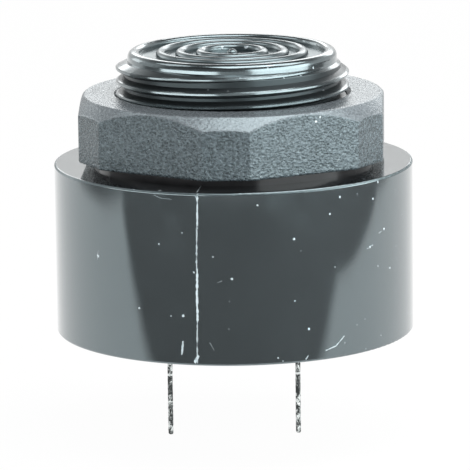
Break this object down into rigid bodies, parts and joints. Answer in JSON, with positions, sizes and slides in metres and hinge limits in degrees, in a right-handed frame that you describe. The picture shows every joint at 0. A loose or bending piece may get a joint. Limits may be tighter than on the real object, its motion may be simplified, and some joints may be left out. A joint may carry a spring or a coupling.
{
  "type": "piezo buzzer",
  "caption": "Round panel-mount piezo buzzer with a ringed front, a threaded neck, a hexagonal mounting nut and long solder pins.",
  "frame": {"origin": "centre of the shoulder face that seats against the back of the panel, on the axis of the neck", "axes": "+Z out of the panel, towards the ringed front; +X along the row of pins, from pin_positive to pin_negative; the pins point to -Z"},
  "size_m": [0.043, 0.043, 0.0473],
  "materials": {
    "housing": "black, glossy moulded",
    "nut": "dark grey, fine moulded grain",
    "washer": "black, smooth",
    "pin_wire": "tinned, dull",
    "resin": "black cast resin",
    "board": "green laminate",
    "solder": "solder grey",
    "glue": "thin clear glue film",
    "brass": "thin rolled brass",
    "piezo": "silvered ceramic",
    "copper_wire": "tinned copper",
    "jacket": "red insulation",
    "ferrite": "dark ferrite",
    "winding": "enamelled copper",
    "can": "plain drawn can",
    "chip": "black moulded package",
    "resistor": "glazed black top",
    "capacitor": "tan ceramic"
  },
  "bodies": {
    "root": {"housing": "housing", "mounting_nut": "nut", "sealing_washer": "washer", "pin_positive": "pin_wire", "pin_negative": "pin_wire", "back_resin": "resin", "circuit_board": "board", "pin_solder": "solder", "lead_solder": "solder", "disc_solder": "solder", "disc_bond": "glue", "brass_disc": "brass", "piezo_ceramic": "piezo", "lead_cores": "copper_wire", "lead_jackets": "jacket", "coil_core": "ferrite", "coil_winding": "winding", "capacitor_can": "can", "capacitor_legs": "pin_wire", "driver_chip": "chip", "driver_chip_legs": "pin_wire", "transistor": "chip", "transistor_legs": "pin_wire", "resistors": "resistor", "resistor_ends": "solder", "chip_capacitors": "capacitor", "chip_capacitor_ends": "solder", "diode_body": "chip", "diode_ends": "solder"}
  },
  "joints": []
}
